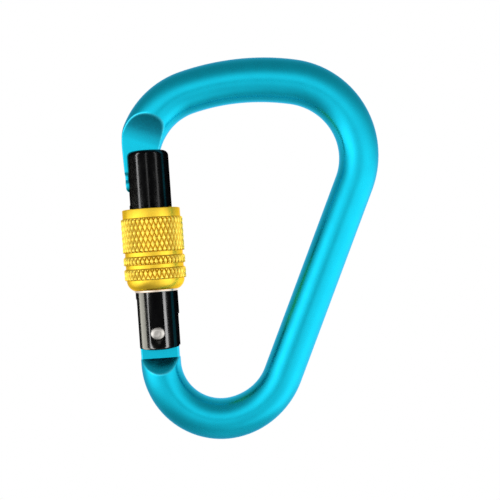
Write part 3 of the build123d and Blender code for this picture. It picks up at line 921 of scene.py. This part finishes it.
# ---------------------------------------------------------------- gate
@dataclass
class Gate:
    """The gate: slotted barrel with its thread, rivet, plunger and return spring."""

    radius: float = 6.3
    bottom: float = -4.9
    top: float = 54.336
    top_round: float = 1.6
    bottom_round: float = 0.9
    foot_radius: float = 30.0
    slot: float = 4.5
    slot_slope: float = 22.0
    hinge_slot_top: float = 7.85
    nose_slot_floor: float = 40.736
    nose_slot_wall: float = 4.19
    neck_gap: float = 1.5
    pocket: float = 2.3
    bulb_z: float = 44.336
    rib_top: float = 46.936
    rib_bite: float = 0.05
    rib_shy: float = 0.02
    slot_edge: float = 0.12
    slot_margin: float = 3.0
    soften_from: float = 38.0
    skin: float = 0.5
    bore: float = 2.05
    bore_x: float = 2.4
    bore_end: float = 25.02
    rivet: float = 2.0
    rivet_seat: float = 5.3
    rivet_head: float = 2.15
    rivet_rim: float = 5.72
    rivet_crown: float = 6.46
    rivet_dimple: float = 1.2
    rivet_dimple_depth: float = 0.24
    thread_low: float = 14.5
    thread_high: float = 32.5
    thread_lead: float = 2.0
    thread_depth: float = 0.55
    thread_mouth: float = 0.432
    thread_root: float = 0.126
    thread_proud: float = 0.25
    thread_clear: float = 0.1
    thread_fade: float = 0.8
    facets: int = 160
    plunger_tip: float = 5.02
    plunger_round: float = 0.8
    plunger_radius: float = 2.0
    plunger_shoulder: float = 11.02
    stem_radius: float = 0.8
    stem_end: float = 23.50
    spring_radius: float = 1.5
    spring_wire: float = 0.35
    spring_coils: int = 10
    spring_margin: float = 0.38

    def blank(self) -> bmesh.types.BMesh:
        """The turned barrel before it is slotted."""
        rim = self.radius - self.top_round
        foot = self.bottom_round
        profile = [
            (0.0, self.bottom),
            *arc((self.radius - foot, self.bottom + foot), foot, -90, 0, 8),
            *arc((rim, self.top - self.top_round), self.top_round, 0, 90, 10),
            (0.0, self.top),
        ]
        return lathe(profile, self.facets)

    def foot_waste(self) -> bmesh.types.BMesh:
        """The cutter that rounds the barrel's foot about an axis through the carabiner."""
        side = 2 * self.radius
        swing = math.degrees(math.asin(side / self.foot_radius))
        centre = (0.0, self.bottom + self.foot_radius)
        curve = arc(centre, self.foot_radius, -90 - swing, -90 + swing, 48)
        return plate([*curve, (side, 3 * self.bottom), (-side, 3 * self.bottom)], 2 * side)

    def slot_rise(self, reach: float) -> float:
        """How far a slot's sloping end rises over some length across the barrel."""
        return reach * math.tan(math.radians(self.slot_slope))

    def hinge_slot(self) -> bmesh.types.BMesh:
        """The cutter of the slot that the hinge tongue stands in."""
        side = 2 * self.radius
        outline = [
            (-side, 2 * self.bottom),
            (side, 2 * self.bottom),
            (side, self.hinge_slot_top - self.slot_rise(side)),
            (-side, self.hinge_slot_top + self.slot_rise(side)),
        ]
        return plate(outline, self.slot)

    def nose_slot(self) -> bmesh.types.BMesh:
        """The cutter of the slot that the nose enters, open at the top and on the outer side."""
        side = 2 * self.radius
        wall = self.nose_slot_wall
        outline = [
            (-side, self.nose_slot_floor - self.slot_rise(side)),
            (wall, self.nose_slot_floor + self.slot_rise(wall)),
            (wall, self.top + self.radius),
            (-side, self.top + self.radius),
        ]
        return plate(outline, self.slot)

    def rib(self, side: int) -> bmesh.types.BMesh:
        """One of the two ribs that close round the nose's neck.

        Args:
            side: 1 for the back wall, -1 for the front wall.

        Returns:
            The rib's mesh, which ends at the barrel's surface.
        """
        wall = self.slot / 2
        root = wall + self.rib_bite
        lean_wall = math.degrees(math.asin(wall / self.pocket))
        lean_gap = math.degrees(math.asin(self.neck_gap / self.pocket))
        hollow = arc((0.0, self.bulb_z), self.pocket, 90 - lean_wall, 90 - lean_gap, 6)
        chamfer = self.rib_top + wall - self.neck_gap
        gap = [(self.neck_gap, self.rib_top), (wall, chamfer)]
        section = [*hollow, *gap, (root, chamfer), (root, hollow[0][1])]
        mesh = bmesh.new()
        corners = [mesh.verts.new((-self.radius, side * y, z)) for y, z in section]
        swept = bmesh.ops.extrude_face_region(mesh, geom=[mesh.faces.new(corners)])
        for vert in verts_of(swept):
            vert.co.x = self.nose_slot_wall
        for vert in mesh.verts:
            reach = math.sqrt(self.radius**2 - vert.co.y**2) - self.rib_shy
            vert.co.x = max(vert.co.x, -reach)
        face_out(mesh)
        return mesh

    def thread_cutter(self) -> bmesh.types.BMesh:
        """The V-shaped groove that winds round the barrel and runs out at both ends."""
        turns = (self.thread_high - self.thread_low) / self.thread_lead
        per_turn = 72
        steps = round(turns * per_turn)
        mouth, root = self.thread_lead * self.thread_mouth, self.thread_lead * self.thread_root
        deep, proud = self.radius - self.thread_depth, self.radius + self.thread_proud
        section = [(proud, -mouth), (deep, -root), (deep, root), (proud, mouth)]
        mesh = bmesh.new()
        corners = [mesh.verts.new((r, 0, self.thread_low + z)) for r, z in section]
        rise = self.thread_lead / per_turn
        spin(mesh, [mesh.faces.new(corners)], steps, 2 * math.pi * steps / per_turn, rise)
        for vert in mesh.verts:
            from_end = min(vert.co.z - self.thread_low, self.thread_high - vert.co.z)
            fade = min(max(from_end / self.thread_fade, 0.0), 1.0)
            lift = (1 - fade) * (self.thread_depth + self.thread_clear)
            radius = vert.co.xy.length
            vert.co.xy *= (radius + lift) / radius
        face_out(mesh)
        return mesh

    def soften(self, mesh: bmesh.types.BMesh) -> None:
        """Break the sharp edges of the slots and seats, clear of the thread."""
        bmesh.ops.dissolve_limit(
            mesh,
            angle_limit=math.radians(0.5),
            verts=mesh.verts,
            edges=mesh.edges,
            delimit={"NORMAL"},
        )
        chosen = []
        for edge in mesh.edges:
            low = min(vert.co.z for vert in edge.verts)
            high = max(vert.co.z for vert in edge.verts)
            by_thread = high > self.hinge_slot_top + self.slot_margin and low < self.soften_from
            if len(edge.link_faces) != 2 or by_thread:
                continue
            inside = all(vert.co.xy.length < self.radius - self.skin for vert in edge.verts)
            if edge.calc_face_angle(0) > SHARP_SLOT and not inside:
                chosen.append(edge)
        bmesh.ops.bevel(
            mesh,
            geom=chosen,
            offset=self.slot_edge,
            affect="EDGES",
            segments=2,
            profile=0.5,
            material=-1,
            clamp_overlap=True,
        )

    def barrel(self) -> bmesh.types.BMesh:
        """The slotted, drilled and threaded barrel."""
        reach = Vector((0, 2 * self.radius, 0))
        seat = Vector((0, self.rivet_seat, 0))
        low, high = (Vector((self.bore_x, 0, z)) for z in (0, self.bore_end))
        mesh = self.blank()
        for tool in (
            self.foot_waste(),
            self.thread_cutter(),
            self.hinge_slot(),
            self.nose_slot(),
            rod(self.bore, low, high),
            rod(self.rivet, -reach, reach),
        ):
            mesh = combine(mesh, tool, Cut.TAKE_AWAY)
        for side in (-1, 1):
            mesh = combine(mesh, rod(self.rivet_head, side * seat, side * reach, 64), Cut.TAKE_AWAY)
            mesh = combine(mesh, self.rib(side), Cut.JOIN_ON)
        self.soften(mesh)
        return mesh

    def hinge_rivet(self) -> bmesh.types.BMesh:
        """The rivet, with a domed and dimpled head at both ends."""
        rise = self.rivet_crown - self.rivet_rim
        dome = (self.rivet_head**2 + rise**2) / (2 * rise)
        head = []
        for radius in np.linspace(self.rivet_head, 0, 25).tolist():
            height = self.rivet_crown - dome + math.sqrt(dome**2 - radius**2)
            dent = max(0.0, 1 - (radius / self.rivet_dimple) ** 2) ** 2
            head.append((radius, height - self.rivet_dimple_depth * dent))
        half = [(self.rivet, self.rivet_seat), (self.rivet_head, self.rivet_seat), *head]
        other = [(radius, -height) for radius, height in reversed(half)]
        mesh = lathe(other + half, 64)
        mesh.transform(Matrix.Rotation(math.pi / 2, 4, "X"))
        return mesh

    def plunger(self) -> bmesh.types.BMesh:
        """The plunger: a round-nosed head that bears on the tongue's cam, and its stem."""
        inner = self.plunger_radius - self.plunger_round
        profile = [
            (0.0, self.plunger_tip),
            *arc((inner, self.plunger_tip + self.plunger_round), self.plunger_round, -90, 0, 8),
            (self.plunger_radius, self.plunger_shoulder),
            (self.stem_radius, self.plunger_shoulder),
            (self.stem_radius, self.stem_end),
            (0.0, self.stem_end),
        ]
        mesh = lathe(profile, 64)
        mesh.transform(Matrix.Translation((self.bore_x, 0, 0)))
        return mesh

    def spring(self) -> bmesh.types.BMesh:
        """The return spring, wound round the plunger's stem."""
        low = self.plunger_shoulder + self.spring_margin
        high = self.bore_end - self.spring_margin
        per_turn = 28
        steps = self.spring_coils * per_turn
        mesh = bmesh.new()
        wire = bmesh.ops.create_circle(mesh, cap_ends=True, radius=self.spring_wire, segments=12)
        upright = Matrix.Rotation(math.pi / 2, 4, "X")
        stand = Matrix.Translation((self.spring_radius, 0, low)) @ upright
        bmesh.ops.transform(mesh, verts=wire["verts"], matrix=stand)
        spin(mesh, list(mesh.faces), steps, 2 * math.pi * self.spring_coils, (high - low) / steps)
        mesh.transform(Matrix.Translation((self.bore_x, 0, 0)))
        return mesh

    def dress(self, bench: Bench) -> None:
        """Make the gate's pieces and set them in the frame.

        Args:
            bench: what sets them in place.
        """
        steel = "rivet_steel", RIVET_STEEL
        bench.set_down(self.barrel(), "gate_barrel", Body.GATE, "black_anodised", BLACK)
        bench.set_down(self.hinge_rivet(), "hinge_rivet", Body.GATE, *steel)
        bench.set_down(self.plunger(), "gate_plunger", Body.PLUNGER, *steel)
        coil = self.spring()
        spring = bench.set_down(coil, "return_spring", Body.GATE, "spring_steel", SPRING_STEEL)
        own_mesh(spring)


# ---------------------------------------------------------------- sleeve
@dataclass
class Sleeve:
    """The knurled locking sleeve and the pale split ring in its mouth."""

    bottom: float = 12.8
    lower_band: Point = (15.95, 19.3)
    middle_band: Point = (20.35, 22.95)
    upper_band: Point = (24.1, 34.3)
    top: float = 37.0
    collar: float = 8.651
    crest: float = 9.201
    corner: float = 3.45
    top_chamfer: float = 0.3
    lip: float = 6.65
    nest: float = 7.05
    nest_low: float = 13.95
    nest_high: float = 14.85
    bore: float = 6.4
    step: float = 29.24
    mouth: float = 7.531
    mouth_break: float = 0.12
    diamonds: int = 40
    diamond_height: float = 3.4
    knurl_depth: float = 0.38
    knurl_flat: float = 0.28
    seam: float = 0.26
    ring_bore: float = 6.35
    ring_neck: float = 6.6
    ring_flange: float = 7.0
    ring_low: float = 12.25
    ring_flange_low: float = 14.0
    ring_high: float = 14.8
    ring_split: float = 0.6
    ring_break: float = 0.08

    def band(self, low: float, high: float) -> bmesh.types.BMesh:
        """One knurled band: a sheet of diamonds, each drawn up into a pyramid, rolled round.

        Args:
            low: the height of its lower edge.
            high: the height of its upper edge.

        Returns:
            The band, open at both edges.
        """
        mesh = masked()
        hollow, wear = (mesh.verts.layers.float[name] for name in MASKS)
        rows = math.ceil((high - self.bottom) / self.diamond_height) + 1
        count = self.diamonds + 2 * rows
        bmesh.ops.create_grid(mesh, x_segments=count, y_segments=count, size=count / 2)
        half = self.diamond_height / 2
        turn = Matrix(((0.5, -0.5, 0, 0), (half, half, 0, 0), (0, 0, 1, 0), (0, 0, 0, 1)))
        shift = Matrix.Translation((self.diamonds / 2, self.bottom + rows * half, 0))
        mesh.transform(shift @ turn)
        for plane, side in ((low, 1), (high, -1)):
            bmesh.ops.bisect_plane(
                mesh,
                geom=list(mesh.verts) + list(mesh.edges) + list(mesh.faces),
                dist=MERGE,
                plane_co=(0, plane, 0),
                plane_no=(0, -side, 0),
                clear_outer=True,
            )
        first, last = -self.seam, self.diamonds - self.seam
        spare = [face for face in mesh.faces if not first <= self.column(face) < last]
        bmesh.ops.delete(mesh, geom=spare, context="FACES")
        pads = list(mesh.faces)
        bmesh.ops.inset_individual(mesh, faces=pads, thickness=0.001, depth=0, use_even_offset=True)
        for pad in pads:
            centre = pad.calc_center_median()
            for vert in pad.verts:
                vert.co = centre + (vert.co - centre) * self.knurl_flat
                vert.co.z = self.knurl_depth
                vert[wear] = 1.0
        # Painted shade in the grooves: every vertex off the worn tops gets it.
        for vert in mesh.verts:
            vert[hollow] = 1.0 - vert[wear]
        bmesh.ops.remove_doubles(mesh, verts=mesh.verts, dist=MERGE)
        self.roll(mesh)
        rims = boundary(mesh, low) + boundary(mesh, high)
        bmesh.ops.subdivide_edges(mesh, edges=rims, cuts=1)
        for edge in boundary(mesh, low) + boundary(mesh, high):
            for vert in edge.verts:
                vert.co.xy *= (self.crest - self.knurl_depth) / vert.co.xy.length
        return mesh

    def column(self, face: bmesh.types.BMFace) -> float:
        """Which diamond of a row a whole or trimmed diamond belongs to: the middle of its width."""
        places = [vert.co.x for vert in face.verts]
        return (min(places) + max(places)) / 2

    def roll(self, mesh: bmesh.types.BMesh) -> None:
        """Roll a flat sheet, a diamond to each unit of x, round the gate's axis."""
        floor = self.crest - self.knurl_depth
        for vert in mesh.verts:
            angle = 2 * math.pi * vert.co.x / self.diamonds
            radius = floor + vert.co.z
            vert.co = Vector((radius * math.cos(angle), radius * math.sin(angle), vert.co.y))
        bmesh.ops.remove_doubles(mesh, verts=mesh.verts, dist=MERGE)

    def walk(
        self, mesh: bmesh.types.BMesh, loop: list[bmesh.types.BMEdge], profile: list[Point]
    ) -> list[bmesh.types.BMEdge]:
        """Extrude a loop round the axis through the points of a profile.

        Args:
            mesh: the sleeve.
            loop: the open loop to start from.
            profile: (radius, height) of each new loop.

        Returns:
            The last loop.
        """
        for radius, height in profile:
            made = bmesh.ops.extrude_edge_only(mesh, edges=loop)
            for vert in verts_of(made):
                vert.co.xy *= radius / vert.co.xy.length
                vert.co.z = height
                for name in MASKS:
                    vert[mesh.verts.layers.float[name]] = 0.0
            edges = [item for item in made["geom"] if isinstance(item, bmesh.types.BMEdge)]
            loop = [edge for edge in edges if edge.is_boundary]
        return loop

    def foot(self) -> list[Point]:
        """The rounded lower corner, from the collar in to the lip."""
        centre_x = self.collar - self.corner
        drop = math.sqrt(self.corner**2 - (self.lip - centre_x) ** 2)
        centre = (centre_x, self.bottom + drop)
        end = math.degrees(math.atan2(-drop, self.lip - centre_x))
        return arc(centre, self.corner, 0, end, 12)

    def shell(self) -> bmesh.types.BMesh:
        """The whole sleeve: three knurled bands joined by grooves, collars and the bore."""
        lower, middle, upper = self.lower_band, self.middle_band, self.upper_band
        mesh = masked()
        for low, high in (lower, middle, upper):
            data = bpy.data.meshes.new("band")
            band = self.band(low, high)
            band.to_mesh(data)
            band.free()
            mesh.from_mesh(data)
            bpy.data.meshes.remove(data)
        collar, chamfer = self.collar, self.top_chamfer
        inside = [
            (self.lip, self.nest_low),
            (self.nest, self.nest_low),
            (self.nest, self.nest_high),
            (self.bore, self.nest_high),
            (self.bore, self.step),
            (self.mouth, self.step),
            (self.mouth, self.top - self.mouth_break),
            (self.mouth + self.mouth_break, self.top),
            (collar - chamfer, self.top),
            (collar - chamfer * 0.3, self.top - chamfer * 0.3),
            (collar, self.top - chamfer),
        ]
        paths = [
            (lower[0], upper[1], [(collar, lower[0]), *self.foot(), *inside, (collar, upper[1])]),
            (lower[1], middle[0], [(collar, lower[1]), (collar, middle[0])]),
            (middle[1], upper[0], [(collar, middle[1]), (collar, upper[0])]),
        ]
        for start, end, profile in paths:
            target = boundary(mesh, end)
            loop = self.walk(mesh, boundary(mesh, start), profile)
            bmesh.ops.bridge_loops(mesh, edges=loop + target)
        face_out(mesh)
        return mesh

    def ring(self) -> bmesh.types.BMesh:
        """The pale ring under the sleeve, split at the back so that it can be sprung in."""
        section = [
            (self.ring_bore, self.ring_low),
            (self.ring_neck - self.ring_break, self.ring_low),
            (self.ring_neck, self.ring_low + self.ring_break),
            (self.ring_neck, self.ring_flange_low),
            (self.ring_flange, self.ring_flange_low),
            (self.ring_flange, self.ring_high),
            (self.ring_bore, self.ring_high),
        ]
        mesh = bmesh.new()
        face = mesh.faces.new([mesh.verts.new((radius, 0, height)) for radius, height in section])
        open_angle = self.ring_split / ((self.ring_bore + self.ring_neck) / 2)
        spin(mesh, [face], 128, 2 * math.pi - open_angle)
        mesh.transform(Matrix.Rotation(math.pi / 2 + open_angle / 2, 4, "Z"))
        return mesh

    def dress(self, bench: Bench) -> None:
        """Make the sleeve and its ring and set them in the frame.

        Args:
            bench: what sets them in place.
        """
        bench.set_down(self.shell(), "locking_sleeve", Body.SLEEVE, "gold_anodised", GOLD)
        bench.set_down(self.ring(), "sleeve_ring", Body.RING, "ring_nylon", RING_STEEL)


# ---------------------------------------------------------------- studio
@dataclass(frozen=True)
class Softbox:
    """A lamp that faces the object; azimuth and elevation in degrees, sizes in metres."""

    name: str
    azimuth: float
    elevation: float
    width: float
    height: float
    level: float
    colour: tuple[float, float, float] = (1.0, 1.0, 1.0)
    distance: float = 0.6


@dataclass(frozen=True)
class Glow:
    """A soft bright patch of the dome; its place and its half-widths are in degrees."""

    azimuth: float
    elevation: float
    across: float
    up: float
    level: float

    def at(self, azimuth: float, elevation: float) -> float:
        """How much light the patch adds in a direction."""
        turn = (azimuth - self.azimuth + 180) % 360 - 180
        aside = turn * math.cos(math.radians((elevation + self.elevation) / 2)) / self.across
        return self.level * math.exp(-(aside**2) - ((elevation - self.elevation) / self.up) ** 2)


@dataclass
class Studio:
    """White surroundings, a dome of soft light for the metal, lamps, a floor and the camera."""

    aim: tuple[float, float, float]
    roll: float = 4.0
    distance: float = 0.30
    lens: float = 72.0
    fill: float = 0.75
    floor_drop: float = 0.12
    floor_radius: float = 0.15
    dome_radius: float = 0.9
    dome_level: float = 0.36
    glows: tuple[Glow, ...] = (
        Glow(-71, -10, 38, 18, 1.25),
        Glow(-43, 12, 27, 22, 1.25),
        Glow(40, -2, 56, 29, 1.0),
        Glow(67, -45, 40, 18, 1.15),
        Glow(113, -17, 48, 18, 0.98),
        Glow(180, 0, 45, 50, 1.0),
        Glow(6, -2, 15, 6, -0.6),
        Glow(0, 20, 30, 15, 0.3),
    )
    lit: ClassVar[dict[str, tuple[str, ...]]] = {
        "sleeve": ("locking_sleeve", "hinge_rivet"),
        "gate": ("gate_barrel",),
        "dome": (
            "body",
            "hinge_rivet",
            "gate_plunger",
            "return_spring",
            "locking_sleeve",
            "sleeve_ring",
        ),
    }
    lamps: tuple[Softbox, ...] = (
        Softbox("left sleeve panel", -84, -8, 0.62, 0.8, 0.5),
        Softbox("right sleeve panel", 50, 0, 0.40, 0.6, 0.5),
        Softbox("left gate panel", -90, -25, 0.42, 0.56, 7.4, (1.0, 0.98, 0.86)),
        Softbox("left gate strip", -46, -25, 0.14, 0.56, 11.6),
        Softbox("right gate strip", 42, -25, 0.16, 0.56, 11.4),
        Softbox("upper left gate strip", -57, 25, 0.09, 0.53, 7.8),
        Softbox("upper front gate strip", -5, 25, 0.06, 0.53, 1.5),
        Softbox("upper right gate strip", 50, 25, 0.09, 0.53, 1.7),
    )

    def stand(self, box: Softbox) -> Matrix:
        """Where a lamp stands: at its distance from the aim, with its -Z towards it."""
        turn, lift = math.radians(box.azimuth), math.radians(box.elevation)
        flat = math.cos(lift)
        way = Vector((math.sin(turn) * flat, -math.cos(turn) * flat, math.sin(lift)))
        place = Vector(self.aim) + way * box.distance
        return Matrix.Translation(place) @ (-way).to_track_quat("-Z", "Y").to_matrix().to_4x4()

    def lamp(self, box: Softbox, lit: bpy.types.Collection) -> None:
        """Hang one area lamp whose face has the box's level of light.

        Args:
            box: the lamp.
            lit: the pieces that the lamp lights.
        """
        data = bpy.data.lights.new(box.name, "AREA")
        data.shape = "RECTANGLE"
        data.size, data.size_y = box.width, box.height
        data.color = box.colour
        data.energy = box.level * math.pi * box.width * box.height
        lamp = bpy.data.objects.new(box.name, data)
        lamp.matrix_world = self.stand(box)
        lamp.visible_camera = False
        data.cycles.max_bounces = 0  # its mirror image in another piece would only be noise
        bpy.context.scene.collection.objects.link(lamp)
        lamp.light_linking.receiver_collection = lit

    def gather(self, name: str, nodes: tuple[str, ...]) -> bpy.types.Collection:
        """Gather the pieces that stand for some nodes, for a lamp to light."""
        lit = bpy.data.collections.new(name)
        for node in nodes:
            lit.objects.link(bpy.data.objects[node + LOOKS])
        return lit

    def dome(self) -> None:
        """Stand the dome, dim but for its glows, which only the bright metals' reflections see."""
        mesh = bmesh.new()
        bmesh.ops.create_uvsphere(mesh, u_segments=90, v_segments=60, radius=self.dome_radius)
        level = mesh.verts.layers.float.new("level")
        for vert in mesh.verts:
            way = vert.co.normalized()
            place = math.degrees(math.atan2(way.x, -way.y)), math.degrees(math.asin(way.z))
            vert[level] = self.dome_level + sum(glow.at(*place) for glow in self.glows)
        mesh.transform(Matrix.Translation(self.aim))
        dome = settle(mesh, "dome")
        graph = Graph(bpy.data.materials.new("dome"))
        where, light = graph.add("Attribute", attribute_name="level"), graph.add("Emission")
        graph.join(where.outputs["Fac"], light.inputs["Strength"])
        graph.surface(light.outputs["Emission"])
        graph.tree.nodes.remove(graph.shader)
        dome.data.materials.append(graph.owner)
        for ray in ("camera", "diffuse", "shadow", "transmission"):
            setattr(dome, "visible_" + ray, False)
        dome.light_linking.receiver_collection = self.gather("dome alone", self.lit["dome"])

    def surroundings(self) -> None:
        """White for the camera's, glossy and clear rays, and a plain level for matt surfaces."""
        world = bpy.data.worlds.new("studio")
        graph = Graph(world)
        path = graph.add("LightPath")
        seen = path.outputs["Is Camera Ray"]
        for other in ("Is Glossy Ray", "Is Transmission Ray"):
            either = graph.add("Math", operation="MAXIMUM")
            graph.join(seen, either.inputs[0])
            graph.join(path.outputs[other], either.inputs[1])
            seen = either.outputs["Value"]
        mix = graph.add("MixShader")
        graph.join(seen, mix.inputs["Fac"])
        for number, level in enumerate((self.fill, 1.0)):
            background = graph.add("Background", {"Color": (level,) * 3})
            graph.join(background.outputs["Background"], mix.inputs[number + 1])
        graph.surface(mix.outputs["Shader"])
        bpy.context.scene.world = world

    def floor(self) -> None:
        """Lay a pale disc under the object that fades into the white at its rim."""
        mesh = bmesh.new()
        bmesh.ops.create_circle(mesh, cap_ends=True, radius=self.floor_radius, segments=96)
        middle = (self.aim[0], 0, self.aim[2] - self.floor_drop)
        mesh.transform(Matrix.Translation(middle))
        floor = settle(mesh, "floor")
        graph = Graph(bpy.data.materials.new("pale floor"))
        graph.fill(graph.shader, {"Roughness": 0.9})
        grain = graph.blend(graph.noise(4.0, 3.0), (0.84,) * 3, (0.88,) * 3)
        graph.join(grain, graph.shader.inputs["Base Color"])
        fit = {"Location": middle, "Scale": (self.floor_radius,) * 3}
        centred = graph.add("Mapping", fit, vector_type="TEXTURE")
        graph.join(graph.place, centred.inputs["Vector"])
        fade = graph.add("TexGradient", gradient_type="QUADRATIC_SPHERE")
        graph.join(centred.outputs["Vector"], fade.inputs["Vector"])
        clear = graph.add("BsdfTransparent")
        mix = graph.add("MixShader")
        graph.join(graph.spread(fade.outputs["Fac"], 0.0, 1.0), mix.inputs["Fac"])
        graph.join(clear.outputs["BSDF"], mix.inputs[1])
        graph.join(graph.shader.outputs["BSDF"], mix.inputs[2])
        graph.surface(mix.outputs["Shader"])
        floor.data.materials.append(graph.owner)

    def camera(self) -> None:
        """Stand the camera square to the carabiner, rolled so that the gate leans to the left."""
        data = bpy.data.cameras.new("camera")
        data.lens = self.lens
        data.clip_start = 0.01
        camera = bpy.data.objects.new("camera", data)
        place = Matrix.Translation(Vector(self.aim) - Vector((0, self.distance, 0)))
        upright = Matrix.Rotation(math.pi / 2, 4, "X")
        camera.matrix_world = place @ Matrix.Rotation(math.radians(self.roll), 4, "Y") @ upright
        bpy.context.scene.collection.objects.link(camera)
        bpy.context.scene.camera = camera

    def build(self) -> None:
        """Set up the studio round the object."""
        self.surroundings()
        for piece in ("sleeve", "gate"):
            lit = self.gather(piece + " alone", self.lit[piece])
            for box in self.lamps:
                if piece in box.name:
                    self.lamp(box, lit)
        self.dome()
        self.floor()
        self.camera()
        bpy.context.scene.view_settings.view_transform = "Standard"


def main() -> None:
    """Build the carabiner's pieces and the studio round them."""
    logging.basicConfig(level=logging.INFO, format="%(message)s")
    joint = next(joint for joint in frame["joints"] if joint["name"] == "gate_hinge")
    bench = Bench(Vector(joint["pos_m"]))
    body = ForgedBody()
    bench.set_down(body.build(), "body", Body.FRAME, "teal_anodised", TEAL)
    Gate().dress(bench)
    Sleeve().dress(bench)
    Studio(aim=tuple(bench.point(28.8, 0, 22.65))).build()


if __name__ == "__main__":
    main()
